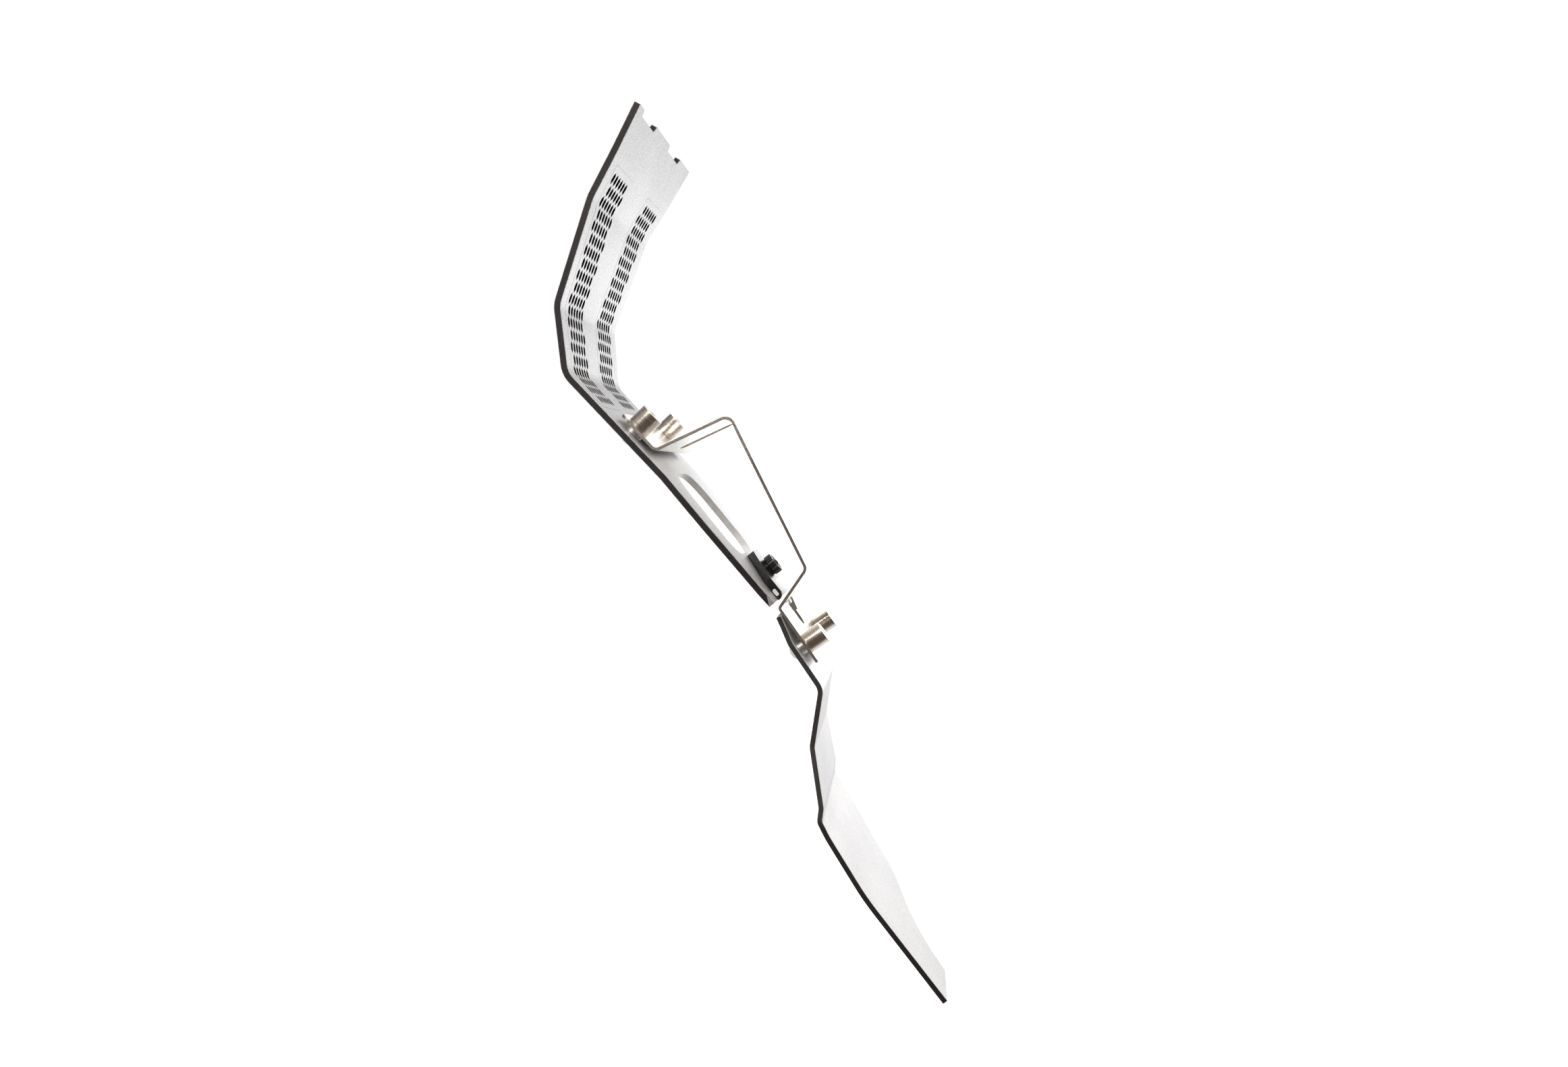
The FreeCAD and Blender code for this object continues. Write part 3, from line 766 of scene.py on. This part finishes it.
@dataclass
class Pin:
    """Where a round CAD piece stands: its axis, middle, radius and length."""

    node: str
    axis: Vector

    def __post_init__(self) -> None:
        """Measure the piece along and across its axis."""
        points = [v.co for v in frame["nodes"][self.node].data.vertices]
        self.middle = centre_of(self.node)
        self.axis = self.axis.normalized()
        heights = [(p - self.middle).dot(self.axis) for p in points]
        self.low, self.high = min(heights), max(heights)
        low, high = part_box(self.node)
        self.radius = (high.y - low.y) / 2

    def place(self, work: bmesh.types.BMesh, height: float = 0.0) -> None:
        """Move a body built along Z to the piece's low end.

        Args:
            work: The bmesh to move.
            height: How far along the axis its zero lies from the low end.
        """
        turn = self.axis.to_track_quat("Z", "Y").to_matrix().to_4x4()
        base = self.middle + self.axis * (self.low + height)
        bmesh.ops.transform(work, matrix=Matrix.Translation(base) @ turn, verts=work.verts)


# ------------------------------------------------------------------ plates
@dataclass
class Plate:
    """A bent plate: the CAD shape with bevelled cut edges painted dark as shade, and window walls
    painted pale as light.
    """

    name: str
    node: str
    body: Body
    slot: str
    face: bpy.types.Material
    thickness: float
    bevel: float
    segments: int = 2

    def build(self) -> bpy.types.Object:
        """Build and place the plate.

        Returns:
            The finished piece.
        """
        work = merged_copy(self.node, self.thickness, outline_only=True)
        bevel_crisp_edges(work, self.bevel, self.segments, 0)
        piece = mesh_piece(self.name, work, [self.face, SHADED_CUT, LIT_WALL])
        return settle(piece, self.body, [self.node])


@dataclass
class Vent:
    """One perforated insert with the dark mesh behind it."""

    side: Side
    thickness: float = 1.4 * MM
    bevel: float = 0.1 * MM

    def build(self) -> None:
        """Build the insert and dress the mesh."""
        node = "vent_panel_" + self.side.value
        work = merged_copy(node, self.thickness)
        bevel_crisp_edges(work, self.bevel, 1, None)
        piece = mesh_piece("vent_insert_" + self.side.value, work, [BLASTED, SHADED_CUT])
        settle(piece, Body.SHELL, [node])
        mesh = frame["nodes"]["vent_mesh_" + self.side.value]
        mesh.data.materials.clear()
        mesh.data.materials.append(MESH)


# ------------------------------------------------------------------ spring
@dataclass
class LeafSpring:
    """The folded spring strip, which bends between the shell and the foot."""

    thickness: float = 1.7 * MM
    bevel: float = 0.22 * MM
    step: float = 4.0 * MM
    bend_from: float = -175.0 * MM
    bend_to: float = -262.0 * MM

    def build(self) -> bpy.types.Object:
        """Build the strip, sliced finely where it bends.

        Returns:
            The finished piece.
        """
        work = merged_copy("leaf_spring", self.thickness)
        bevel_crisp_edges(work, self.bevel, 2, None)
        height = self.bend_to - self.step
        while height < self.bend_from + self.step:
            bmesh.ops.bisect_plane(work, geom=work.verts[:] + work.edges[:] + work.faces[:],
                                   dist=SEAM_DISTANCE, plane_co=(0, 0, height), plane_no=(0, 0, 1))
            height += self.step
        piece = mesh_piece("folded_leaf_spring", work, [SPRING, SHADED_SPRING_EDGE])
        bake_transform(piece)
        return settle(piece, None, ["leaf_spring"])


# ------------------------------------------------------------------ clamps
@dataclass
class Clamp:
    """A spacer, a barrel nut and a dome-head screw through a plate."""

    level: str
    side: Side
    body: Body
    steps: int = 72
    chamfer: float = 0.45 * MM
    key_radius: float = 1.5 * MM
    key_depth: float = 1.2 * MM
    key_mouth: float = 0.1 * MM
    head_height: float = 3.2 * MM
    shank_radius: float = 2.45 * MM
    tip_chamfer: float = 0.4 * MM
    spacer_chamfer: float = 0.25 * MM
    socket_mouth: float = 0.25 * MM

    def names(self) -> dict[str, str]:
        """Name the clamp's CAD nodes by kind."""
        return {kind: f"{self.level}_{kind}_{self.side.value}" for kind in
                ("spacer", "nut", "screw")}

    def build(self) -> None:
        """Build the three pieces."""
        nodes = self.names()
        axis = centre_of(nodes["nut"]) - centre_of(nodes["spacer"])
        self.build_nut(Pin(nodes["nut"], axis))
        self.build_spacer(Pin(nodes["spacer"], axis))
        self.build_screw(Pin(nodes["screw"], axis))

    def nickel(self, pin: Pin) -> bpy.types.Material:
        """Make the turned nickel of one piece."""
        return TurnedNickel(pin.node + "_nickel", tuple(pin.axis)).material()

    def build_nut(self, pin: Pin) -> bpy.types.Object:
        """Turn the barrel nut, with chamfered ends and a hexagon socket in its top.

        Args:
            pin: Where the nut stands.

        Returns:
            The finished piece.
        """
        radius, tall, cut = pin.radius, pin.high - pin.low, self.chamfer
        socket, deep = self.key_radius * 1.5, self.key_depth * 1.4
        profile = [(0.0, 0.0), (radius - cut, 0.0), (radius - 0.4 * cut, 0.2 * cut), (radius, cut),
                   (radius, tall - cut), (radius - 0.4 * cut, tall - 0.2 * cut),
                   (radius - cut, tall), (socket + 1.2 * self.socket_mouth, tall),
                   (socket, tall - self.socket_mouth),
                   (socket, tall - deep), (0.0, tall - deep)]
        work = spun(profile, self.steps)
        shaped(work, hexagon(socket, tall - deep - MM, tall - 0.2 * MM))
        pin.place(work)
        piece = mesh_piece(f"{self.level}_barrel_nut_{self.side.value}", work, [self.nickel(pin)])
        return settle(piece, self.body, [pin.node])

    def build_spacer(self, pin: Pin) -> bpy.types.Object:
        """Turn the spacer.

        Args:
            pin: Where the spacer stands.

        Returns:
            The finished piece.
        """
        radius, tall, cut = pin.radius, pin.high - pin.low, self.spacer_chamfer
        profile = [(0.0, 0.0), (radius - cut, 0.0), (radius, cut), (radius, tall - cut),
                   (radius - cut, tall), (0.0, tall)]
        work = spun(profile, self.steps)
        pin.place(work)
        piece = mesh_piece(f"{self.level}_clamp_spacer_{self.side.value}", work, [STEEL])
        return settle(piece, self.body, [pin.node])

    def build_screw(self, pin: Pin) -> bpy.types.Object:
        """Turn the screw: a domed head with a hexagon socket, and a shank.

        Args:
            pin: Where the screw stands.

        Returns:
            The finished piece.
        """
        tall, shank, tip = pin.high - pin.low, self.shank_radius, self.tip_chamfer
        rise = self.head_height
        dome = [(r, h) for r, h in arc(pin.radius, rise, -rise, 12, inward=False)
                if r > self.key_radius + 2 * self.key_mouth]
        floor = dome[0][1]
        profile = [(0.0, floor + self.key_depth), (self.key_radius, floor + self.key_depth),
                   (self.key_radius, floor + self.key_mouth)] + dome
        profile += [(shank, rise), (shank, tall - tip), (shank - tip, tall), (0.0, tall)]
        work = spun(profile, self.steps)
        shaped(work, hexagon(self.key_radius, floor + self.key_mouth / 2, floor + self.key_depth + MM))
        pin.place(work)
        piece = mesh_piece(f"{self.level}_dome_screw_{self.side.value}", work, [STEEL])
        return settle(piece, self.body, [pin.node])


def hexagon(radius: float, low: float, high: float) -> Callable[[float, float, float], float]:
    """Give the change that turns a round socket's wall into a hexagon.

    Args:
        radius: The socket's radius.
        low: Only points above this height change.
        high: Only points below this height change.

    Returns:
        A function for shaped().
    """
    def change(angle: float, distance: float, height: float) -> float:
        """Give the factor at one point."""
        if distance > radius * 1.01 or not low < height < high:
            return 1.0
        sixth = math.pi / 3
        off = (angle + sixth / 2) % sixth - sixth / 2
        return math.cos(sixth / 2) / math.cos(off)
    return change


# ------------------------------------------------------------------ stop
@dataclass
class Stop:
    """The sliding stop: bar, washer, fluted nut and domed screw."""

    steps: int = 96
    bar_bevel: float = 0.55 * MM
    flutes: int = 16
    flute_depth: float = 0.055
    tip_height: float = 0.9 * MM
    head_height: float = 2.2 * MM
    shank_radius: float = 2.4 * MM
    washer_chamfer: float = 0.15 * MM
    nut_chamfer: float = 0.6 * MM
    nut_bore: float = 2.46 * MM
    nut_dish: float = 0.3 * MM

    def build(self) -> None:
        """Build the four pieces."""
        axis = Vector(next(j["axis"] for j in frame["joints"] if j["name"] == "knob_turn"))
        self.build_bar()
        self.build_washer(Pin("stop_washer", axis))
        self.build_nut(Pin("stop_nut", axis))
        self.build_screw(Pin("stop_screw", axis))

    def build_bar(self) -> bpy.types.Object:
        """Bevel the bar's edges.

        Returns:
            The finished piece.
        """
        work = merged_copy("stop_bar")
        bevel_crisp_edges(work, self.bar_bevel, 3, None)
        piece = mesh_piece("sliding_stop_bar", work, [BLACK])
        return settle(piece, Body.STOP, ["stop_bar"])

    def build_washer(self, pin: Pin) -> bpy.types.Object:
        """Turn the washer.

        Args:
            pin: Where the washer stands.

        Returns:
            The finished piece.
        """
        radius, tall, cut = pin.radius, pin.high - pin.low, self.washer_chamfer
        profile = [(0.0, 0.0), (radius - cut, 0.0), (radius, cut), (radius, tall - cut),
                   (radius - cut, tall), (0.0, tall)]
        work = spun(profile, self.steps)
        pin.place(work)
        piece = mesh_piece("stop_flat_washer", work, [BLACK])
        return settle(piece, Body.STOP, ["stop_washer"])

    def build_nut(self, pin: Pin) -> bpy.types.Object:
        """Turn the nut, flute its side and open its middle.

        Args:
            pin: Where the nut stands.

        Returns:
            The finished piece.
        """
        radius, tall, cut, bore = pin.radius, pin.high - pin.low, self.nut_chamfer, self.nut_bore
        profile = [(bore, 0.0), (radius - cut, 0.0), (radius, cut), (radius, tall - cut),
                   (radius - 0.35 * cut, tall - 0.25 * cut), (radius - cut, tall),
                   (radius - 2.4 * cut, tall), (radius - 2.7 * cut, tall - self.nut_dish),
                   (bore, tall - self.nut_dish), (bore, 0.0)]
        work = spun(profile, self.steps)

        def flute(angle: float, distance: float, height: float) -> float:
            """Give the factor that cuts a shallow flute."""
            if distance < radius - 1.1 * cut or not 0.2 * cut < height < tall - 0.2 * cut:
                return 1.0
            wave = max(0.0, math.cos(self.flutes * angle))
            return 1.0 - self.flute_depth * wave ** 3
        shaped(work, flute)
        pin.place(work)
        piece = mesh_piece("stop_fluted_nut", work, [BLACK])
        return settle(piece, Body.KNOB, ["stop_nut"])

    def build_screw(self, pin: Pin) -> bpy.types.Object:
        """Turn the screw with its two domed ends.

        Args:
            pin: Where the screw stands.

        Returns:
            The finished piece.
        """
        tall, shank = pin.high - pin.low, self.shank_radius
        profile = arc(pin.radius, self.head_height, -self.head_height, 10, inward=False)
        profile += [(shank, self.head_height)]
        profile += arc(shank, tall - self.tip_height, self.tip_height, 8)
        work = spun(profile, self.steps)
        pin.place(work)
        piece = mesh_piece("stop_domed_screw", work, [BLACK])
        return settle(piece, Body.STOP, ["stop_screw"])


@dataclass
class TetherLug:
    """The small bracket with an eye at the top of the foot plate."""

    bevel: float = 0.2 * MM

    def build(self) -> bpy.types.Object:
        """Bevel the bracket.

        Returns:
            The finished piece.
        """
        work = merged_copy("tether_lug")
        bevel_crisp_edges(work, self.bevel, 2, None)
        piece = mesh_piece("tether_eye_bracket", work, [STEEL])
        return settle(piece, Body.FOOT, ["tether_lug"])


# ------------------------------------------------------------------ studio
@dataclass(frozen=True)
class Softbox:
    """A soft square light: its place from the leg's middle, its side, its watts and its tint."""

    name: str
    place: tuple[float, float, float]
    size: float
    power: float
    tint: Colour

    def hang(self) -> None:
        """Hang the light so that it points at the middle of the leg."""
        light = bpy.data.lights.new(self.name, "AREA")
        light.size, light.energy, light.color = self.size, self.power, self.tint
        lamp = bpy.data.objects.new(self.name, light)
        bpy.context.scene.collection.objects.link(lamp)
        middle = (CAD_LOW + CAD_HIGH) / 2
        lamp.location = middle + Vector(self.place)
        lamp.rotation_euler = (middle - lamp.location).to_track_quat("-Z", "Y").to_euler()
        lamp.visible_camera = False


SOFTBOXES = (
    Softbox("key_softbox", (-0.9, 0.5, 0.9), 1.1, 5.5, (1.0, 0.985, 0.96)),
    Softbox("far_softbox", (0.1, 0.3, 0.04), 0.3, 0.45, (1.0, 0.99, 0.97)),
    Softbox("toe_softbox", (0.34, 0.5, 0.0), 0.35, 0.2, (1.0, 0.99, 0.98)),
    Softbox("front_softbox", (-0.25, -1.0, 0.75), 0.55, 9.0, (1.0, 0.96, 0.91)),
    Softbox("rim_softbox", (-0.55, -0.45, -0.2), 0.4, 1.6, (1.0, 0.99, 0.98)),
)


@dataclass
class Studio:
    """The pale floor, the soft light and the camera."""

    floor_drop: float = 2.0 * MM
    floor_radius: float = 9.0
    floor_glow: float = 0.6
    shade_below: Colour = (0.11, 0.088, 0.07)
    shade_above: Colour = (0.42, 0.375, 0.33)
    lens: float = 29.43
    eye_side: float = 145.5 * MM
    eye_back: float = 749.0 * MM
    eye_height: float = -184.5 * MM
    clip: tuple[float, float] = (0.05, 50.0)
    across: tuple[float, float, float] = (0.0953, 1.0, 0.0447)

    def build(self) -> None:
        """Build the floor, the world, the lights and the camera."""
        self.floor()
        self.world()
        for box in SOFTBOXES:
            box.hang()
        self.camera()

    def floor(self) -> None:
        """Lay a wide pale disc under the toe."""
        work = bmesh.new()
        bmesh.ops.create_circle(work, cap_ends=True, segments=96, radius=self.floor_radius)
        drop = CAD_LOW.z - self.floor_drop
        bmesh.ops.translate(work, vec=(0, 0, drop), verts=work.verts)
        mesh = bpy.data.meshes.new("pale_floor")
        work.to_mesh(mesh)
        work.free()
        paint = Finish("pale_floor", 0.0, 0.9)
        noise = noise_value(paint.tree, paint.place, 3.0, 2.0)
        colour = paint.ramp(noise, NOISE_LOW, NOISE_HIGH, (0.9, 0.9, 0.9), (0.93, 0.93, 0.93))
        paint.tree.links.new(colour, paint.shader.inputs["Base Color"])
        paint.shader.inputs["Emission Color"].default_value = (1, 1, 1, 1)
        paint.shader.inputs["Emission Strength"].default_value = self.floor_glow
        mesh.materials.append(paint.material)
        floor = bpy.data.objects.new("pale_floor", mesh)
        bpy.context.scene.collection.objects.link(floor)
        floor.visible_glossy = False
        floor.visible_diffuse = False

    def world(self) -> None:
        """Make a white room that is beige above and dark below on the viewer's side."""
        world = bpy.data.worlds.new("white_room")
        bpy.context.scene.world = world
        world.use_nodes = True
        tree = world.node_tree
        back = next(n for n in tree.nodes if n.type == "BACKGROUND")
        place = tree.nodes.new("ShaderNodeTexCoord").outputs["Generated"]
        split = tree.nodes.new("ShaderNodeSeparateXYZ")
        tree.links.new(place, split.inputs[0])
        depth = self.smooth_step(tree, split.outputs["Y"], -0.5, 0.3, 1.0)
        lift = self.smooth_step(tree, split.outputs["Z"], -0.1, 0.45, 0.5)
        amount = math_node(tree, "MAXIMUM", depth, lift)
        ramp = tree.nodes.new("ShaderNodeValToRGB")
        ramp.color_ramp.elements[0].color = (*self.shade_below, 1)
        ramp.color_ramp.elements[1].color = (1.0, 1.0, 1.0, 1)
        beige = ramp.color_ramp.elements.new(0.5)
        beige.color = (*self.shade_above, 1)
        tree.links.new(amount, ramp.inputs[0])
        ray = tree.nodes.new("ShaderNodeLightPath").outputs["Is Camera Ray"]
        pick = tree.nodes.new("ShaderNodeMix")
        pick.data_type = "RGBA"
        tree.links.new(ray, pick.inputs[0])
        tree.links.new(ramp.outputs[0], pick.inputs[6])
        pick.inputs[7].default_value = (1, 1, 1, 1)
        tree.links.new(pick.outputs[2], back.inputs["Color"])
        back.inputs["Strength"].default_value = 1.0
        bpy.context.scene.view_settings.view_transform = "Standard"

    def smooth_step(self, tree: bpy.types.NodeTree, value: bpy.types.NodeSocket, low: float,
                    high: float, top: float) -> bpy.types.NodeSocket:
        """Ease a value from zero to a top between two limits.

        Args:
            tree: The node tree to add to.
            value: The value to ease.
            low: Where the result leaves zero.
            high: Where the result reaches the top.
            top: The highest result.

        Returns:
            The eased value.
        """
        node = tree.nodes.new("ShaderNodeMapRange")
        node.interpolation_type = "SMOOTHSTEP"
        node.inputs["From Min"].default_value = low
        node.inputs["From Max"].default_value = high
        node.inputs["To Max"].default_value = top
        tree.links.new(value, node.inputs[0])
        return node.outputs[0]

    def camera(self) -> None:
        """Aim the camera so that the width runs away up to the right."""
        data = bpy.data.cameras.new("camera")
        data.lens = self.lens
        data.clip_start, data.clip_end = self.clip
        camera = bpy.data.objects.new("camera", data)
        bpy.context.scene.collection.objects.link(camera)
        away = Vector(self.across).normalized()
        up = (Vector((0, 0, 1)) - away * away.z).normalized()
        side = away.cross(up)
        axes = Matrix((side, away, up))
        right, forward, top = (axes @ Vector(v) for v in ((1, 0, 0), (0, 1, 0), (0, 0, 1)))
        turn = Matrix((right, top, -forward)).transposed().to_4x4()
        place = Matrix.Translation((self.eye_side, -self.eye_back, self.eye_height))
        camera.matrix_world = place @ turn
        bpy.context.scene.camera = camera


def main() -> None:
    """Build every piece, then the studio."""
    logging.basicConfig(level=logging.INFO, format="%(name)s %(message)s")
    Plate("calf_shell_plate", "calf_shell", Body.SHELL, "shell_metal", BLASTED, 3.8 * MM,
          0.9 * MM).build()
    Plate("foot_blade_plate", "foot_plate", Body.FOOT, "foot_metal", LIT_BLADE, 3.0 * MM,
          0.8 * MM).build()
    LeafSpring().build()
    for side in Side:
        Vent(side).build()
        Clamp("upper", side, Body.SHELL).build()
        Clamp("lower", side, Body.FOOT, head_height=2.8 * MM).build()
    Stop().build()
    TetherLug().build()
    Studio().build()


if __name__ == "__main__":
    main()
